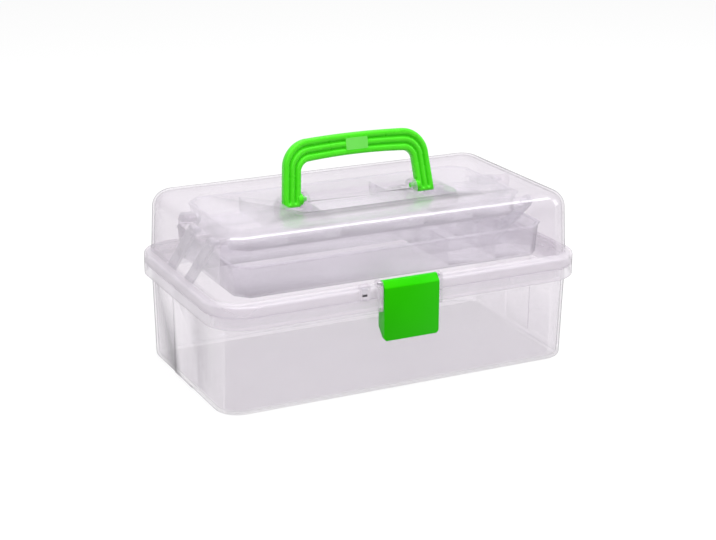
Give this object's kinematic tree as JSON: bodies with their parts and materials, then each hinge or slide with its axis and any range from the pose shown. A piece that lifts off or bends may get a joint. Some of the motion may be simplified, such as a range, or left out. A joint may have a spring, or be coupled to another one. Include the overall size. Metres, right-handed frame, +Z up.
{
  "type": "compartment storage box",
  "caption": "Clear hinged craft storage box with two tiered compartment trays that swing out as the lid opens, a ribbed bail handle and a front latch.",
  "frame": {"origin": "centre of the tub's flat underside", "axes": "+Z up, +X along the length, the latch faces -Y and the lid hinge is at +Y"},
  "size_m": [0.33, 0.2048, 0.192],
  "materials": {
    "clear_shell": "moulded, clear with a slight haze",
    "clear_tray": "moulded, clear with a slight haze",
    "green": "moulded, glossy",
    "natural": "moulded, milky",
    "steel": "drawn wire"
  },
  "bodies": {
    "base": {"base_tub": "clear_shell", "hinge_pin_left": "steel", "hinge_pin_right": "steel", "base_rivet_front_left": "natural", "base_rivet_front_right": "natural", "base_rivet_rear_left": "natural", "base_rivet_rear_right": "natural"},
    "lid": {"lid": "clear_shell", "latch_pin": "steel", "link_rivet_lid_left": "natural", "link_rivet_lid_right": "natural"},
    "handle": {"handle": "green"},
    "latch": {"latch": "green"},
    "lower_tray": {"lower_tray": "clear_tray", "lower_rivet_front_left": "natural", "lower_rivet_front_right": "natural", "lower_rivet_rear_left": "natural", "lower_rivet_rear_right": "natural"},
    "upper_tray": {"upper_tray": "clear_tray", "upper_rivet_front_left": "natural", "upper_rivet_front_right": "natural", "upper_rivet_rear_left": "natural", "upper_rivet_rear_right": "natural", "link_rivet_tray_left": "natural", "link_rivet_tray_right": "natural"},
    "front_arm_left": {"front_arm_left": "natural"},
    "rear_arm_left": {"rear_arm_left": "natural"},
    "front_arm_right": {"front_arm_right": "natural"},
    "rear_arm_right": {"rear_arm_right": "natural"},
    "lid_link_left": {"lid_link_left": "natural"},
    "lid_link_right": {"lid_link_right": "natural"}
  },
  "joints": [
    {"name": "lid_open", "type": "hinge", "parent": "base", "child": "lid", "pos_m": [0, 0.1002, 0.083], "axis": [-1, 0, 0], "range_deg": [0, 100]},
    {"name": "handle_swing", "type": "hinge", "parent": "lid", "child": "handle", "pos_m": [0, 0, 0.1427], "axis": [1, 0, 0], "range_deg": [-42, 88]},
    {"name": "latch_swing", "type": "hinge", "parent": "lid", "child": "latch", "pos_m": [0, -0.0944, 0.0955], "axis": [-1, 0, 0], "range_deg": [0, 110]},
    {"name": "front_arm_left_swing", "type": "hinge", "parent": "base", "child": "front_arm_left", "pos_m": [-0.1445, 0.026, 0.074], "axis": [-1, 0, 0], "range_deg": [0, 76]},
    {"name": "rear_arm_left_swing", "type": "hinge", "parent": "base", "child": "rear_arm_left", "pos_m": [-0.1445, 0.066, 0.074], "axis": [-1, 0, 0], "range_deg": [0, 76]},
    {"name": "front_arm_right_swing", "type": "hinge", "parent": "base", "child": "front_arm_right", "pos_m": [0.1445, 0.026, 0.074], "axis": [-1, 0, 0], "range_deg": [0, 76]},
    {"name": "rear_arm_right_swing", "type": "hinge", "parent": "base", "child": "rear_arm_right", "pos_m": [0.1445, 0.066, 0.074], "axis": [-1, 0, 0], "range_deg": [0, 76]},
    {"name": "lower_tray_level", "type": "hinge", "parent": "front_arm_left", "child": "lower_tray", "pos_m": [-0.1445, -0.00318, 0.10002], "axis": [-1, 0, 0], "range_deg": [-76, 0]},
    {"name": "upper_tray_level", "type": "hinge", "parent": "front_arm_left", "child": "upper_tray", "pos_m": [-0.1445, -0.03237, 0.12604], "axis": [-1, 0, 0], "range_deg": [-76, 0]},
    {"name": "lid_link_left_swing", "type": "hinge", "parent": "lid", "child": "lid_link_left", "pos_m": [-0.1385, 0.01369, 0.134], "axis": [-1, 0, 0], "range_deg": [0, 34.9]},
    {"name": "lid_link_right_swing", "type": "hinge", "parent": "lid", "child": "lid_link_right", "pos_m": [0.1385, 0.01369, 0.134], "axis": [-1, 0, 0], "range_deg": [0, 34.9]}
  ],
  "couplings": [
    {"joint": "front_arm_left_swing", "follows": "lid_open", "ratio": 0.76},
    {"joint": "rear_arm_left_swing", "follows": "lid_open", "ratio": 0.76},
    {"joint": "front_arm_right_swing", "follows": "lid_open", "ratio": 0.76},
    {"joint": "rear_arm_right_swing", "follows": "lid_open", "ratio": 0.76},
    {"joint": "lower_tray_level", "follows": "lid_open", "ratio": -0.76},
    {"joint": "upper_tray_level", "follows": "lid_open", "ratio": -0.76},
    {"joint": "lid_link_left_swing", "follows": "lid_open", "ratio": 0.349},
    {"joint": "lid_link_right_swing", "follows": "lid_open", "ratio": 0.349}
  ]
}
